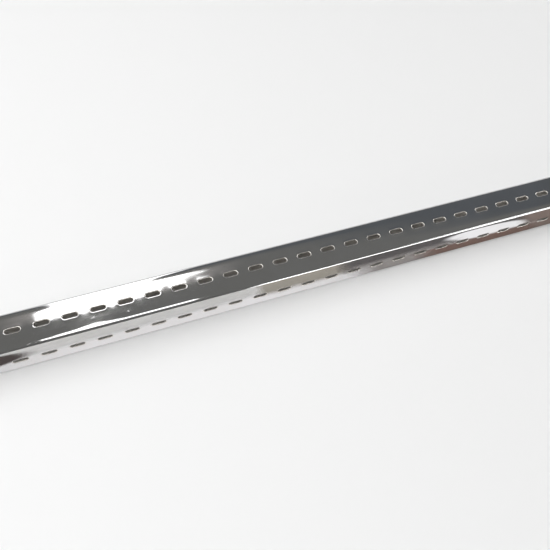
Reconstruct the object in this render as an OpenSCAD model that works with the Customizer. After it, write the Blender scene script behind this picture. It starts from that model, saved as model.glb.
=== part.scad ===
// Perforated square tube: thin-wall square steel tube, bright polished outside,
// with a row of round-ended slots punched through each of its four faces.
// The tube lies along X on its bottom face. The origin is the middle of that face.

/* [Tube] */
// Outside width and height of the square section
tube_w = 38; // [30:1:60]
// Thickness of the wall
wall = 1.2; // [0.8:0.1:2]
// Outside radius of the four long corners
corner_r = 3; // [2.5:0.25:6]
// Length that the tube is cut to
tube_l = 1000; // [100:25:3000]

/* [Slots] */
// Spacing of the slots along the tube, centre to centre
slot_pitch = 25; // [20:0.5:50]
// Clear length of a slot, over its round ends
slot_l = 13.5; // [8:0.25:17]
// Clear width of a slot
slot_w = 4.5; // [3:0.1:7]
// Rounding of a slot's outer lip, left by the punch and the polishing
lip_r = 0.6; // [0.2:0.1:0.7]
// How far the rows of the two upright faces sit below the middle of the face
upright_row_drop = 3; // [0:0.25:6]

/* [Hidden] */
$fn = 48;
// Room by which a cutter runs past the face that it cuts
cut_over = 1;
half_w = tube_w / 2;
cut_reach = half_w + cut_over;
inner_w = tube_w - 2 * wall;
inner_r = corner_r - wall;
slot_count = floor(tube_l / slot_pitch);
slot_first = -(slot_count - 1) / 2 * slot_pitch;
slot_end_r = slot_w / 2;
slot_straight = slot_l - slot_w;
// How far the lip's arc is lifted, so that it crosses the face instead of grazing it
lip_lift = lip_r / 20;
// Height of the lip's foot, where the slot's straight punched wall starts
lip_foot = half_w - lip_r + lip_lift;

// A square with four round corners, about the origin
module rounded_square(side, radius) {
    flat = side - 2 * radius;
    square([side, flat], center = true);
    square([flat, side], center = true);
    for (x = [-1, 1], y = [-1, 1])
        translate([x, y] * flat / 2) circle(radius);
}

// The wall of the tube, seen on its cut end
module tube_section() {
    difference() {
        rounded_square(tube_w, corner_r);
        rounded_square(inner_w, inner_r);
    }
}

// The plain tube, along X and about the origin
module plain_tube() {
    rotate([90, 0, 90])
        linear_extrude(tube_l, center = true) tube_section();
}

// What stays beside a slot, in section: the punched wall, with a round lip at each face
module slot_side() {
    square([2 * lip_r, 2 * lip_foot], center = true);
    for (y = [-1, 1])
        translate([0, y * lip_foot]) circle(lip_r);
}

// Half of a slot's section through two opposite faces
module slot_half_section() {
    difference() {
        translate([0, -cut_reach]) square([slot_end_r + lip_r, 2 * cut_reach]);
        translate([slot_end_r + lip_r, 0]) slot_side();
    }
}

// One slot, long along X, cut straight through two opposite faces
module slot_cut() {
    for (side = [-1, 1]) {
        translate([side * slot_straight / 2, 0, 0])
            rotate([0, 0, -side * 90]) rotate_extrude(angle = 180) slot_half_section();
        rotate([90, 0, side * 90])
            linear_extrude(slot_straight, center = true) slot_half_section();
    }
}

// The slots of two opposite faces, all along the tube
module slot_row() {
    for (i = [0 : slot_count - 1])
        translate([slot_first + i * slot_pitch, 0, 0]) slot_cut();
}

module perforated_tube() {
    color("silver")
        translate([0, 0, half_w])
            difference() {
                plain_tube();
                slot_row();
                translate([0, 0, -upright_row_drop]) rotate([90, 0, 0]) slot_row();
            }
}

perforated_tube();
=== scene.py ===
"""Looks of the perforated square tube: a bright polished, slotted steel tube on a pale floor."""
import math

import bmesh
import bpy
from mathutils import Matrix, Vector


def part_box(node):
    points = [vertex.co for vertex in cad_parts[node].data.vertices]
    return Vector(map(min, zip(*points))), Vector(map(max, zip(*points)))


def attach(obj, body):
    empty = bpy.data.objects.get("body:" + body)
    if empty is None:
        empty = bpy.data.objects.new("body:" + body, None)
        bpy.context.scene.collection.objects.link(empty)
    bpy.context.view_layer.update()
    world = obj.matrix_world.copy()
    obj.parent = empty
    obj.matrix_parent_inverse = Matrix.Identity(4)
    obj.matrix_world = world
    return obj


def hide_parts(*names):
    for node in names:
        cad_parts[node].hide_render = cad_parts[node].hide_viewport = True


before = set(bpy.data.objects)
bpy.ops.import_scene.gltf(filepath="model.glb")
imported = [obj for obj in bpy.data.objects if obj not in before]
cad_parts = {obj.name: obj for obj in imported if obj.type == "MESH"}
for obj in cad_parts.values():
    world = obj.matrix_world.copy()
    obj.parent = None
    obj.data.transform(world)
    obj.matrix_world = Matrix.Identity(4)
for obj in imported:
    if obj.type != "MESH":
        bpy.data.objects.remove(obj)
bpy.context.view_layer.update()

# Sizes of the tube, in metres
MM = 0.001
NODE = "perforated_tube"
low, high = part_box(NODE)
TUBE_L = high.x - low.x
TUBE_W = high.y - low.y
HALF_W = TUBE_W / 2
WALL = 1.2 * MM
CORNER_R = 3 * MM
SLOT_PITCH = 25 * MM
SLOT_L = 13.5 * MM
SLOT_W = 4.5 * MM
LIP_R = 0.6 * MM
ROW_DROP = 3 * MM
END_BREAK = 0.2 * MM
FACE_FLAT = HALF_W - CORNER_R
SLOT_COUNT = round(TUBE_L / SLOT_PITCH)
SLOT_R = SLOT_W / 2
SLOT_STRAIGHT = SLOT_L - SLOT_W

# How finely the slots and corners are divided, and the angle from which an edge shows as sharp
RING_POINTS = 32
LIP_STEPS = 4
CORNER_STEPS = 5
INNER_CORNER_STEPS = 3
PATCH_HALF_W = 8 * MM
PATCH_LONG_CUTS = 2
PATCH_SHORT_CUTS = 12
SHARP_ANGLE = math.radians(32)

# How near two places count as one, how near two points are merged, and how squarely an end face looks along x
CLOSE = 0.01 * MM
MERGE = 0.002 * MM
END_ON = 0.99

# The slight swelling that the punch leaves about a slot: distance from the lip, and depth below its top, in mm
SWELL = ((0.0, 0.0), (0.5, 0.0035), (1.5, 0.0095), (2.7, 0.0145), (4.0, 0.017))
# The slight crown beside a corner: distance from the middle of the face, and fall there, in mm
CROWN = ((12.0, 0.017), (14.0, 0.029), (15.2, 0.047), (16.0, 0.065))


def deselect_all():
    """Leaves edit mode with nothing selected."""
    if bpy.context.object and bpy.context.object.mode != "OBJECT":
        bpy.ops.object.mode_set(mode="OBJECT")
    bpy.ops.object.select_all(action="DESELECT")


def edit_points():
    """The mesh that is being edited, with its points ready to be picked by number."""
    points = bmesh.from_edit_mesh(bpy.context.object.data)
    points.verts.ensure_lookup_table()
    points.edges.ensure_lookup_table()
    points.faces.ensure_lookup_table()
    return points


def pick(kind, keep):
    """Selects the points, edges or faces of the edited mesh that pass a test, and nothing else."""
    bpy.ops.mesh.select_mode(type={"verts": "VERT", "edges": "EDGE", "faces": "FACE"}[kind])
    bpy.ops.mesh.select_all(action="DESELECT")
    mesh = edit_points()
    for item in getattr(mesh, kind):
        if keep(item):
            item.select_set(True)
    mesh.select_flush_mode()
    bmesh.update_edit_mesh(bpy.context.object.data)


def near(a, b):
    """True where two measures are the same, but for rounding."""
    return abs(a - b) < CLOSE


def add_slot_ring(radius, height, row):
    """A round-ended ring about a slot, a circle with its halves moved apart. Gives its points' numbers."""
    first = len(edit_points().verts)
    half_step = math.pi / RING_POINTS
    bpy.ops.mesh.primitive_circle_add(
        vertices=RING_POINTS, radius=radius, location=(0, row, height), rotation=(0, 0, half_step))
    ring = range(first, first + RING_POINTS)
    for side in (-1, 1):
        pick("verts", lambda v: v.index in ring and v.co.x * side > 0)
        bpy.ops.transform.translate(value=(side * SLOT_STRAIGHT / 2, 0, 0))
    return ring


def add_patch_ring(half_width, height, row):
    """A rectangle one pitch long, divided as a slot ring is. Gives its points' numbers."""
    first = len(edit_points().verts)
    bpy.ops.mesh.select_all(action="DESELECT")
    bpy.ops.mesh.primitive_plane_add(size=1, location=(0, row, height))
    bpy.ops.transform.resize(
        value=(SLOT_PITCH, 2 * half_width, 1), center_override=(0, row, height))
    bpy.ops.mesh.delete(type="ONLY_FACE")
    for level, cuts in (("y", PATCH_LONG_CUTS), ("x", PATCH_SHORT_CUTS)):
        pick("edges", lambda e: all(v.index >= first for v in e.verts)
             and near(getattr(e.verts[0].co, level), getattr(e.verts[1].co, level)))
        bpy.ops.mesh.subdivide(number_cuts=cuts)
    return range(first, len(edit_points().verts))


def bridge(ring_a, ring_b):
    """Faces between two rings of points."""
    rings = (set(ring_a), set(ring_b))
    pick("edges", lambda e: any(all(v.index in ring for v in e.verts) for ring in rings))
    bpy.ops.mesh.bridge_edge_loops()


def bridge_flat(ring_a, ring_b, lift):
    """Faces between two rings that lie about level: the second is lifted while they are joined."""
    pick("verts", lambda v: v.index in ring_b)
    bpy.ops.transform.translate(value=(0, 0, lift))
    bridge(ring_a, ring_b)
    pick("verts", lambda v: v.index in ring_b)
    bpy.ops.transform.translate(value=(0, 0, -lift))


def pick_long_edge(y, z):
    """Selects the edges that run along the face at a place across it and a height."""
    pick("edges", lambda e: all(near(v.co.y, y) and near(v.co.z, z) for v in e.verts))


def spin_corner(side, steps):
    """Carries the selected edges round to the middle of the corner on one side."""
    bpy.ops.mesh.spin(
        steps=steps, angle=side * math.pi / 4, center=(0, side * FACE_FLAT, -CORNER_R), axis=(1, 0, 0))


def give_finish(index, keep):
    """Gives the faces that pass a test one of the object's finishes."""
    pick("faces", keep)
    bpy.context.object.active_material_index = index
    bpy.ops.object.material_slot_assign()


# The finishes. Colours are linear, and patterns are laid out in the tube's own metres.
PUNCHED, INSIDE, SAWN, LIP = 1, 2, 3, 4
# The range that most of a pattern's values lie in
MOST = (0.3, 0.7)


def add_node(tree, kind, values=None, **settings):
    """A shader node with its settings, and with its sockets set by name."""
    node = tree.nodes.new(kind)
    for name, value in settings.items():
        setattr(node, name, value)
    for name, value in (values or {}).items():
        node.inputs[name].default_value = value
    return node


def pattern(tree, per_metre, stretch=(1, 1, 1), detail=2.0, roughness=0.5):
    """A noise pattern of so many features a metre, drawn out along an axis where stretch is under 1."""
    place = add_node(tree, "ShaderNodeTexCoord")
    mapping = add_node(tree, "ShaderNodeMapping", {"Scale": stretch})
    noise = add_node(tree, "ShaderNodeTexNoise", {
        "Scale": per_metre, "Detail": detail, "Roughness": roughness})
    tree.links.new(place.outputs["Object"], mapping.inputs["Vector"])
    tree.links.new(mapping.outputs["Vector"], noise.inputs["Vector"])
    return noise.outputs["Fac"]


def spread(tree, value, span, result):
    """A pattern's values in one range stretched over another."""
    node = add_node(tree, "ShaderNodeMapRange", {
        "From Min": span[0], "From Max": span[1], "To Min": result[0], "To Max": result[1]})
    tree.links.new(value, node.inputs["Value"])
    return node.outputs["Result"]


def total(tree, value_a, value_b):
    """The sum of two patterns."""
    node = add_node(tree, "ShaderNodeMath", operation="ADD")
    tree.links.new(value_a, node.inputs[0])
    tree.links.new(value_b, node.inputs[1])
    return node.outputs["Value"]


def tint(tree, value, color_a, color_b):
    """A colour between two, by a pattern."""
    node = add_node(tree, "ShaderNodeMix", data_type="RGBA")
    tree.links.new(value, node.inputs["Factor"])
    node.inputs["A"].default_value = (*color_a, 1)
    node.inputs["B"].default_value = (*color_b, 1)
    return node.outputs["Result"]


def relief(tree, height, depth, below=None):
    """Bump of so many metres from a pattern, laid over another bump."""
    node = add_node(tree, "ShaderNodeBump", {"Distance": depth})
    tree.links.new(height, node.inputs["Height"])
    if below is not None:
        tree.links.new(below, node.inputs["Normal"])
    return node.outputs["Normal"]


def steel(name, metal=1.0):
    """A bare metal finish, ready for its colour, roughness and relief."""
    material = bpy.data.materials.new(name)
    material.use_nodes = True
    tree = material.node_tree
    shader = tree.nodes["Principled BSDF"]
    shader.inputs["Metallic"].default_value = metal
    return material, tree, shader


def dress(tree, shader, color, rough, normal):
    """Gives a finish its colour, roughness and relief."""
    tree.links.new(color, shader.inputs["Base Color"])
    tree.links.new(rough, shader.inputs["Roughness"])
    tree.links.new(normal, shader.inputs["Normal"])


def mirror_polish():
    """The outside: buffed to a mirror, a little uneven, with lines along the tube, hand marks and scuffs."""
    material, tree, shader = steel("mirror_polish")
    marks = pattern(tree, per_metre=28, detail=6.0, roughness=0.62)
    lines = pattern(tree, per_metre=2200, stretch=(0.02, 1, 1))
    waves = pattern(tree, per_metre=22, stretch=(0.8, 1, 1), detail=1.0)
    scuffs = pattern(tree, per_metre=150, stretch=(0.6, 1, 1), detail=4.0, roughness=0.6)
    marked = spread(tree, marks, (0.35, 0.7), (0, 1))
    color = tint(tree, marked, (0.74, 0.74, 0.745), (0.69, 0.688, 0.68))
    marks_rough = spread(tree, marks, (0.5, 0.75), (0.03, 0.055))
    lines_rough = spread(tree, lines, (0.4, 0.7), (0.0, 0.015))
    scuffs_rough = spread(tree, scuffs, (0.66, 0.76), (0.0, 0.16))
    rough = total(tree, total(tree, marks_rough, lines_rough), scuffs_rough)
    uneven = relief(tree, waves, depth=0.04 * MM)
    dress(tree, shader, color, rough, relief(tree, lines, depth=0.0001 * MM, below=uneven))
    return material


def punched_edge():
    """A slot's punched wall: dull and finely grained, the same all the way down."""
    material, tree, shader = steel("punched_edge")
    grain = pattern(tree, per_metre=2600, detail=3.0)
    color = tint(tree, grain, (0.48, 0.47, 0.46), (0.62, 0.61, 0.60))
    rough = spread(tree, grain, MOST, (0.22, 0.4))
    dress(tree, shader, color, rough, relief(tree, grain, depth=0.02 * MM))
    return material


def satin_lip_painted_highlight():
    """A slot's round lip: drawn over by the punch and only brushed by the polishing wheel, so rougher. Its
    cream colour, lighter than the polished steel, is a painted highlight on the rims.
    """
    material, tree, shader = steel("satin_lip_painted_highlight")
    grain = pattern(tree, per_metre=1500, detail=3.0)
    # Painted highlight: the lip's cream colour, lighter than the polished steel, stands in for the light its
    # rims catch
    color = tint(tree, grain, (0.80, 0.765, 0.71), (0.87, 0.84, 0.79))
    rough = spread(tree, grain, MOST, (0.24, 0.36))
    dress(tree, shader, color, rough, relief(tree, grain, depth=0.005 * MM))
    return material


def mill_inside():
    """The inside: unpolished, dull and faintly stained, with the mill's lines along the tube."""
    material, tree, shader = steel("mill_inside", metal=0.5)
    stain = pattern(tree, per_metre=45, stretch=(0.5, 1, 1), detail=5.0)
    lines = pattern(tree, per_metre=900, stretch=(0.03, 1, 1), detail=3.0)
    color = tint(tree, stain, (0.805, 0.782, 0.757), (0.89, 0.87, 0.846))
    rough = spread(tree, lines, MOST, (0.38, 0.6))
    dress(tree, shader, color, rough, relief(tree, lines, depth=0.01 * MM))
    return material


def sawn_end():
    """The cut ends: bright, with the saw's fine upright lines."""
    material, tree, shader = steel("sawn_end")
    lines = pattern(tree, per_metre=3000, stretch=(1, 1, 0.05))
    color = tint(tree, lines, (0.46, 0.455, 0.45), (0.62, 0.615, 0.61))
    rough = spread(tree, lines, MOST, (0.25, 0.45))
    dress(tree, shader, color, rough, relief(tree, lines, depth=0.02 * MM))
    return material


FINISHES = (mirror_polish(), punched_edge(), mill_inside(), sawn_end(), satin_lip_painted_highlight())


def model_face(name, row, turn):
    """One face of the tube, from corner to corner: a slot with its lip and swelling, repeated."""
    deselect_all()
    bpy.ops.mesh.primitive_circle_add(vertices=RING_POINTS, radius=SLOT_R)
    piece = bpy.context.object
    piece.name = name
    for finish in FINISHES:
        piece.data.materials.append(finish)
    bpy.ops.object.mode_set(mode="EDIT")
    bpy.ops.mesh.select_all(action="SELECT")
    bpy.ops.mesh.delete(type="VERT")

    # The slot: its punched wall, the round lip above it and the swelling about the lip
    wall_foot = add_slot_ring(SLOT_R, -WALL, row)
    lip_rings = []
    for step in range(LIP_STEPS + 1):
        slope = math.pi / 2 * step / LIP_STEPS
        out, down = LIP_R * (1 - math.cos(slope)), LIP_R * (1 - math.sin(slope))
        lip_rings.append(add_slot_ring(SLOT_R + out, -down, row))
    for ring_a, ring_b in zip([wall_foot] + lip_rings, lip_rings):
        bridge(ring_a, ring_b)
    face_ring = lip_rings[-1]
    for distance, depth in SWELL[1:]:
        next_ring = add_slot_ring(SLOT_R + LIP_R + distance * MM, -depth * MM, row)
        bridge_flat(face_ring, next_ring, SLOT_W)
        face_ring = next_ring
    face_level = -SWELL[-1][1] * MM
    bridge_flat(face_ring, add_patch_ring(PATCH_HALF_W, face_level, row), SLOT_W)

    # The outside, from the patch about the slot out to the middle of each corner
    for side in (-1, 1):
        at, height = row + side * PATCH_HALF_W, face_level
        pick_long_edge(at, height)
        for distance, fall in CROWN:
            move = (0, side * distance * MM - at, -fall * MM - height)
            bpy.ops.mesh.extrude_region_move(TRANSFORM_OT_translate={"value": move})
            at, height = side * distance * MM, -fall * MM
        spin_corner(side, CORNER_STEPS)

    # The inside, which is plain and flat
    bridge_flat(wall_foot, add_patch_ring(FACE_FLAT, -WALL, 0), -SLOT_W)
    for side in (-1, 1):
        pick_long_edge(side * FACE_FLAT, -WALL)
        spin_corner(side, INNER_CORNER_STEPS)

    wall_points = set(wall_foot) | set(lip_rings[0])
    lip_points = {point for ring in lip_rings for point in ring}
    give_finish(PUNCHED, lambda f: all(v.index in wall_points for v in f.verts))
    give_finish(LIP, lambda f: all(v.index in lip_points for v in f.verts))
    give_finish(INSIDE, lambda f: all(v.co.z < CLOSE - WALL for v in f.verts))
    bpy.ops.object.mode_set(mode="OBJECT")

    bpy.ops.object.modifier_add(type="ARRAY")
    repeat = piece.modifiers[-1]
    repeat.count = SLOT_COUNT
    repeat.use_relative_offset = False
    repeat.use_constant_offset = True
    repeat.constant_offset_displace = (SLOT_PITCH, 0, 0)
    repeat.use_merge_vertices = True
    repeat.merge_threshold = MERGE
    bpy.ops.object.modifier_apply(modifier=repeat.name)

    first_slot = -(SLOT_COUNT - 1) / 2 * SLOT_PITCH
    piece.matrix_world = (Matrix.Translation((first_slot, 0, HALF_W)) @ Matrix.Rotation(turn, 4, "X")
                          @ Matrix.Translation((0, 0, HALF_W)))
    bpy.ops.object.transform_apply(location=True, rotation=True, scale=True)
    return piece


def is_outside(point):
    """True for a point of the tube's outside, false for one of its inside."""
    y, z = abs(point.y), abs(point.z - HALF_W)
    if min(y, z) > FACE_FLAT:
        return math.hypot(y - FACE_FLAT, z - FACE_FLAT) > CORNER_R - WALL / 2
    return max(y, z) > HALF_W - WALL / 2


def model_tube():
    """The whole tube: four slotted faces joined at their corners, and the two cut ends."""
    faces = [
        model_face("tube_top", 0, 0),
        model_face("tube_front", -ROW_DROP, math.pi / 2),
        model_face("tube_bottom", 0, math.pi),
        model_face("tube_back", ROW_DROP, -math.pi / 2),
    ]
    deselect_all()
    for face in faces:
        face.select_set(True)
    bpy.context.view_layer.objects.active = faces[0]
    bpy.ops.object.join()
    tube = bpy.context.object
    tube.name = "slotted_tube"
    bpy.ops.object.mode_set(mode="EDIT")
    bpy.ops.mesh.select_all(action="SELECT")
    bpy.ops.mesh.remove_doubles(threshold=MERGE)

    # The cut ends: the outer edge broken with a file, and the sawn face between outside and inside
    shrink = 1 - END_BREAK / HALF_W
    for side in (-1, 1):
        end = side * TUBE_L / 2
        pick("edges", lambda e: e.is_boundary
             and all(near(v.co.x, end) and is_outside(v.co) for v in e.verts))
        bpy.ops.transform.translate(value=(-side * END_BREAK, 0, 0))
        bpy.ops.mesh.extrude_region_move(TRANSFORM_OT_translate={"value": (side * END_BREAK, 0, 0)})
        bpy.ops.transform.resize(value=(1, shrink, shrink), center_override=(end, 0, HALF_W))
        pick("edges", lambda e: e.is_boundary and all(near(v.co.x, end) for v in e.verts))
        bpy.ops.mesh.fill()
    bpy.ops.mesh.select_all(action="SELECT")
    bpy.ops.mesh.normals_make_consistent(inside=False)
    give_finish(SAWN, lambda f: abs(f.normal.x) > END_ON and near(abs(f.verts[0].co.x), TUBE_L / 2))
    bpy.ops.object.mode_set(mode="OBJECT")
    bpy.ops.object.shade_smooth_by_angle(angle=SHARP_ANGLE)
    bpy.ops.object.modifier_add(type="WEIGHTED_NORMAL")
    tube.modifiers[-1].keep_sharp = True
    bpy.ops.object.modifier_apply(modifier=tube.modifiers[-1].name)
    return tube


# The studio: a pale floor with a pale wall far round it, soft lamps and a dim grey room above
FLOOR_R = 6.0
FLOOR_POINTS = 96
WALL_H = 2.5
FLOOR_COLOR = (0.92, 0.92, 0.92)
BACKDROP_FADE = (0.6, 1.3)
LAMP_H = 1.9
WHITE = (1.0, 1.0, 1.0)
WINDOW_RADIANCE = 3.0
ROOM_LEFT = (0.167, 0.167, 0.162)
ROOM_RIGHT = (0.111, 0.119, 0.129)
ROOM_SLANT = 5.0
ROOM_CHANGE = (3.28, 3.5)
# The raggedness of a cloth's or card's edge: its share of the half size, its streaks and their number a metre
MOST_RAGGED = 0.06
STREAK = (0.5, 1, 3)
CLOTH_GRAIN = 5
PAPER_GRAIN = 60


def pale_floor():
    """Matt and pale, lit by the lamps about the tube. Farther off it shows as an even backdrop."""
    material = bpy.data.materials.new("pale_floor")
    material.use_nodes = True
    tree = material.node_tree
    shader = tree.nodes["Principled BSDF"]
    shader.inputs["Base Color"].default_value = (*FLOOR_COLOR, 1)
    shader.inputs["Roughness"].default_value = 1.0
    shader.inputs["Specular IOR Level"].default_value = 0.0
    place = add_node(tree, "ShaderNodeTexCoord")
    distance = add_node(tree, "ShaderNodeVectorMath", operation="LENGTH")
    tree.links.new(place.outputs["Object"], distance.inputs[0])
    far = spread(tree, distance.outputs["Value"], BACKDROP_FADE, (0, 1))
    ray = add_node(tree, "ShaderNodeLightPath")
    seen = total(tree, total(tree, ray.outputs["Is Camera Ray"], ray.outputs["Is Glossy Ray"]),
                 ray.outputs["Is Transmission Ray"])
    shown = add_node(tree, "ShaderNodeMath", operation="MULTIPLY", use_clamp=True)
    tree.links.new(far, shown.inputs[0])
    tree.links.new(seen, shown.inputs[1])
    backdrop = add_node(tree, "ShaderNodeEmission", {"Color": (*FLOOR_COLOR, 1)})
    mix = add_node(tree, "ShaderNodeMixShader")
    tree.links.new(shown.outputs["Value"], mix.inputs["Fac"])
    tree.links.new(shader.outputs["BSDF"], mix.inputs[1])
    tree.links.new(backdrop.outputs["Emission"], mix.inputs[2])
    tree.links.new(mix.outputs["Shader"], tree.nodes["Material Output"].inputs["Surface"])
    return material


def make_floor():
    """The floor under the tube, turned up into the wall at its rim."""
    deselect_all()
    bpy.ops.mesh.primitive_circle_add(vertices=FLOOR_POINTS, radius=FLOOR_R, location=(0, 0, 0))
    floor = bpy.context.object
    floor.name = "floor"
    bpy.ops.object.mode_set(mode="EDIT")
    pick("edges", lambda e: True)
    bpy.ops.mesh.extrude_region_move(TRANSFORM_OT_translate={"value": (0, 0, WALL_H)})
    pick("edges", lambda e: all(near(v.co.z, 0) for v in e.verts))
    bpy.ops.mesh.edge_face_add()
    bpy.ops.mesh.select_all(action="SELECT")
    bpy.ops.mesh.normals_make_consistent(inside=True)
    bpy.ops.object.mode_set(mode="OBJECT")
    floor.data.materials.append(pale_floor())


def make_lamp(name, place, size, radiance):
    """A soft ceiling lamp that faces down, with its brightness as it shows in a mirror."""
    deselect_all()
    bpy.ops.object.light_add(type="AREA", location=(*place, LAMP_H))
    lamp = bpy.context.object
    lamp.name = name
    lamp.data.shape = "RECTANGLE"
    lamp.data.size, lamp.data.size_y = size
    lamp.data.energy = radiance * math.pi * size[0] * size[1]
    lamp.visible_camera = False


def soft_edged(name, middle, half_size, tilt, edge, shape, flat, grain):
    """A cloth or card that fades out towards an oval, pointed or square edge, see-through beyond it."""
    material = bpy.data.materials.new(name)
    material.use_nodes = True
    tree = material.node_tree
    tree.nodes.remove(tree.nodes["Principled BSDF"])
    turn = (0, 0, tilt) if flat else (0, tilt, 0)
    scale = (half_size[0], half_size[1], 1) if flat else (half_size[0], 1, half_size[1])
    place = add_node(tree, "ShaderNodeTexCoord")
    mapping = add_node(tree, "ShaderNodeMapping", {"Location": middle, "Rotation": turn, "Scale": scale},
                       vector_type="TEXTURE")
    tree.links.new(place.outputs["Object"], mapping.inputs["Vector"])
    positive = add_node(tree, "ShaderNodeVectorMath", operation="ABSOLUTE")
    tree.links.new(mapping.outputs["Vector"], positive.inputs[0])
    if shape == "square":
        axes = add_node(tree, "ShaderNodeSeparateXYZ")
        size = add_node(tree, "ShaderNodeMath", operation="MAXIMUM")
        tree.links.new(positive.outputs["Vector"], axes.inputs["Vector"])
        tree.links.new(axes.outputs["X"], size.inputs[0])
        tree.links.new(axes.outputs["Y" if flat else "Z"], size.inputs[1])
    else:
        size = add_node(tree, "ShaderNodeVectorMath",
                        operation="DOT_PRODUCT" if shape == "pointed" else "LENGTH")
        size.inputs[1].default_value = (1, 1, 1)
        tree.links.new(positive.outputs["Vector"], size.inputs[0])
    ragged = min(edge, MOST_RAGGED)
    streaks = spread(tree, pattern(tree, per_metre=grain, stretch=STREAK, detail=3.0), MOST, (-ragged, ragged))
    fade = add_node(tree, "ShaderNodeMapRange", interpolation_type="SMOOTHSTEP", values={
        "From Min": 1 + edge, "From Max": 1 - edge, "To Min": 0.0, "To Max": 1.0})
    tree.links.new(total(tree, size.outputs["Value"], streaks), fade.inputs["Value"])
    clear = add_node(tree, "ShaderNodeBsdfTransparent")
    mix = add_node(tree, "ShaderNodeMixShader")
    tree.links.new(fade.outputs["Result"], mix.inputs["Fac"])
    tree.links.new(clear.outputs["BSDF"], mix.inputs[1])
    tree.links.new(mix.outputs["Shader"], tree.nodes["Material Output"].inputs["Surface"])
    return material, tree, mix


def make_card(name, middle, half_size, edge, flat):
    """A plane with room for its soft edge, which shows in the polished faces but not in the picture."""
    deselect_all()
    reach = 1 + 2 * edge
    bpy.ops.mesh.primitive_plane_add(size=2, location=middle)
    card = bpy.context.object
    card.name = name
    if not flat:
        card.rotation_euler = (math.pi / 2, 0, 0)
    card.scale = (half_size[0] * reach, half_size[1] * reach, 1)
    bpy.ops.object.transform_apply(location=True, rotation=True, scale=True)
    card.visible_camera = False
    return card


def make_window(name, middle, half_size, tilt=0.0, edge=0.07, shape="oval", color=WHITE,
                radiance=WINDOW_RADIANCE):
    """An upright lit cloth behind the tube, mirrored in its top."""
    card = make_card(name, middle, half_size, edge, flat=False)
    material, tree, mix = soft_edged(
        name + "_cloth", middle, half_size, tilt, edge, shape, flat=False, grain=CLOTH_GRAIN)
    light = add_node(tree, "ShaderNodeEmission", {"Color": (*color, 1), "Strength": radiance})
    tree.links.new(light.outputs["Emission"], mix.inputs[2])
    card.data.materials.append(material)


def make_bench_card(name, middle, half_size, color, edge=0.12, shape="square", flat=True, tilt=0.0,
                    glow=0.0):
    """A card lying or standing beside the tube, matt or lit from within, that only the steel mirrors."""
    card = make_card(name, middle, half_size, edge, flat)
    material, tree, mix = soft_edged(
        name + "_paper", middle, half_size, tilt, edge, shape, flat, grain=PAPER_GRAIN)
    if glow:
        paper = add_node(tree, "ShaderNodeEmission", {"Color": (*color, 1), "Strength": glow})
    else:
        paper = add_node(tree, "ShaderNodeBsdfDiffuse", {"Color": (*color, 1)})
    tree.links.new(paper.outputs[0], mix.inputs[2])
    card.data.materials.append(material)
    card.visible_diffuse = False
    card.visible_shadow = False


def make_room():
    """The dim room above the floor: grey, darker and bluer towards the right."""
    world = bpy.context.scene.world or bpy.data.worlds.new("room")
    bpy.context.scene.world = world
    world.use_nodes = True
    tree = world.node_tree
    back = tree.nodes["Background"]
    place = add_node(tree, "ShaderNodeTexCoord")
    axes = add_node(tree, "ShaderNodeSeparateXYZ")
    tree.links.new(place.outputs["Generated"], axes.inputs["Vector"])
    sideways = add_node(tree, "ShaderNodeMath", operation="MULTIPLY_ADD")
    sideways.inputs[1].default_value = ROOM_SLANT
    tree.links.new(axes.outputs["Y"], sideways.inputs[0])
    tree.links.new(axes.outputs["X"], sideways.inputs[2])
    slope = add_node(tree, "ShaderNodeMath", operation="DIVIDE")
    tree.links.new(sideways.outputs["Value"], slope.inputs[0])
    tree.links.new(axes.outputs["Z"], slope.inputs[1])
    across = spread(tree, slope.outputs["Value"], ROOM_CHANGE, (0, 1))
    tree.links.new(tint(tree, across, ROOM_LEFT, ROOM_RIGHT), back.inputs["Color"])


# The photograph's camera, fitted to the slots and long edges, with its lens and sensor in mm
CAMERA_PLACE = (-0.2095, -0.3357, 0.6294)
CAMERA_AZIMUTH = math.radians(30.088)
CAMERA_ELEVATION = math.radians(57.777)
CAMERA_ROLL = math.radians(11.362)
CAMERA_LENS = 48.385
CAMERA_SENSOR_W = 36
CAMERA_CLIP_START = 0.01


def make_camera():
    """The camera, turned to its azimuth, tipped down to its elevation and then rolled."""
    deselect_all()
    bpy.ops.object.camera_add(location=CAMERA_PLACE)
    camera = bpy.context.object
    level = math.cos(CAMERA_ELEVATION)
    ahead = Vector((math.sin(CAMERA_AZIMUTH) * level, math.cos(CAMERA_AZIMUTH) * level,
                    -math.sin(CAMERA_ELEVATION)))
    right = Vector((math.cos(CAMERA_AZIMUTH), -math.sin(CAMERA_AZIMUTH), 0))
    up = right.cross(ahead)
    turn_right = right * math.cos(CAMERA_ROLL) + up * math.sin(CAMERA_ROLL)
    turn_up = up * math.cos(CAMERA_ROLL) - right * math.sin(CAMERA_ROLL)
    axes = Matrix((turn_right, turn_up, -ahead)).transposed()
    camera.matrix_world = Matrix.Translation(CAMERA_PLACE) @ axes.to_4x4()
    camera.data.lens = CAMERA_LENS
    camera.data.sensor_width = CAMERA_SENSOR_W
    camera.data.clip_start = CAMERA_CLIP_START
    bpy.context.scene.camera = camera


tube = model_tube()
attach(tube, "root")
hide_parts(NODE)

make_floor()
make_room()

# Ceiling lamps: place, size and brightness
make_lamp("front_ceiling_lamp", (3.3, -3.4), (2.2, 1.6), 4.0)
make_lamp("right_ceiling_lamp", (3.4, 0.4), (1.6, 3.0), 6.0)
make_lamp("left_ceiling_lamp", (-1.6, -0.1), (1.85, 3.2), 2.65)
make_lamp("middle_ceiling_lamp", (-0.0625, -0.07), (0.535, 1.46), 2.1)

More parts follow.
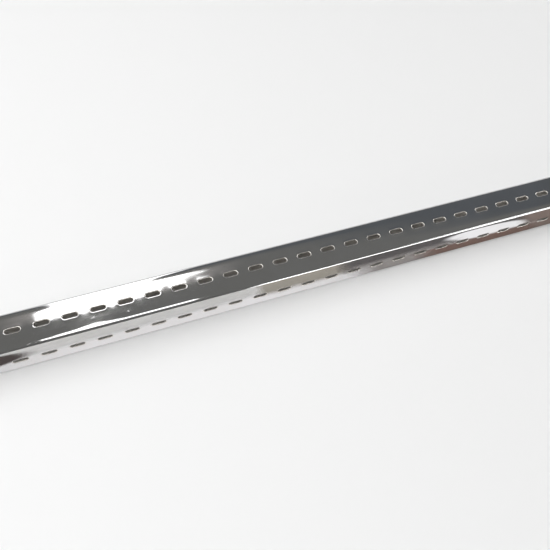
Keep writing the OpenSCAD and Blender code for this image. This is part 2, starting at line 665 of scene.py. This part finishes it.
# Lit cloths behind the tube: middle and half size
make_window("back_window", (-0.0625, 1.5, 2.588), (0.3125, 0.118), edge=0.05)
make_window("side_window", (0.13, 1.51, 2.585), (0.35, 0.09), shape="pointed")
make_window("low_window", (-0.055, 1.52, 1.75), (0.235, 0.83), edge=0.12, shape="square")
make_window("high_window", (-0.15, 1.53, 3.445), (0.21, 0.49), tilt=-0.08, edge=0.04, shape="pointed")
make_window("haze_window", (0.02, 1.54, 2.65), (0.52, 0.11), edge=0.35, color=(1.0, 0.95, 0.92),
            radiance=0.37)

# Cards: middle, half size and colour. Where cards overlap, one lies a hair above the other.
make_bench_card("pale_card", (-0.16, -0.05, 0.0005), (0.13, 0.018), (0.82, 0.81, 0.795), edge=0.6)
make_bench_card("pale_strip", (-0.1, -0.0235, 0.00055), (0.19, 0.005), (0.97, 0.95, 0.96), edge=0.5,
                glow=1.0)
make_bench_card("khaki_card", (0.02, -0.047, 0.0006), (0.05, 0.02), (0.50, 0.465, 0.41), edge=0.16)
make_bench_card("dark_card", (0.25, -0.076, 0.0007), (0.19, 0.049), (0.17, 0.16, 0.16), edge=0.05)
make_bench_card("white_card", (0.232, -0.0318, 0.00072), (0.05, 0.0058), (1.0, 0.99, 1.0), edge=0.15,
                shape="oval", tilt=0.03, glow=1.1)
make_bench_card("grey_card", (0.13, -0.0215, 0.00075), (0.055, 0.0085), (0.50, 0.47, 0.46), edge=0.4)
make_bench_card("brown_card", (0.265, -0.0195, 0.0008), (0.12, 0.0075), (0.315, 0.215, 0.185), edge=0.2)
make_bench_card("end_card", (0.35, -0.04, 0.0009), (0.07, 0.025), (0.34, 0.27, 0.24), edge=0.2)
make_bench_card("left_card", (-0.31, -0.0315, 0.0009), (0.054, 0.006), (0.12, 0.10, 0.097), edge=0.2,
                shape="oval")
make_bench_card("left_flag", (-0.365, -0.075, 0.034), (0.335, 0.031), (0.21, 0.205, 0.205), edge=0.04,
                flat=False)
make_bench_card("right_flag", (0.4, -0.57, 0.145), (0.43, 0.14), (0.16, 0.155, 0.155), edge=0.03,
                flat=False)
make_bench_card("front_strip", (0.336, -0.3425, 0.0004), (0.366, 0.2175), WHITE, edge=0.03, glow=5.5)
make_bench_card("back_card", (0.0, 0.11, 0.0004), (0.62, 0.075), (0.36, 0.355, 0.35), edge=0.3)

make_camera()
bpy.context.scene.view_settings.view_transform = "Standard"
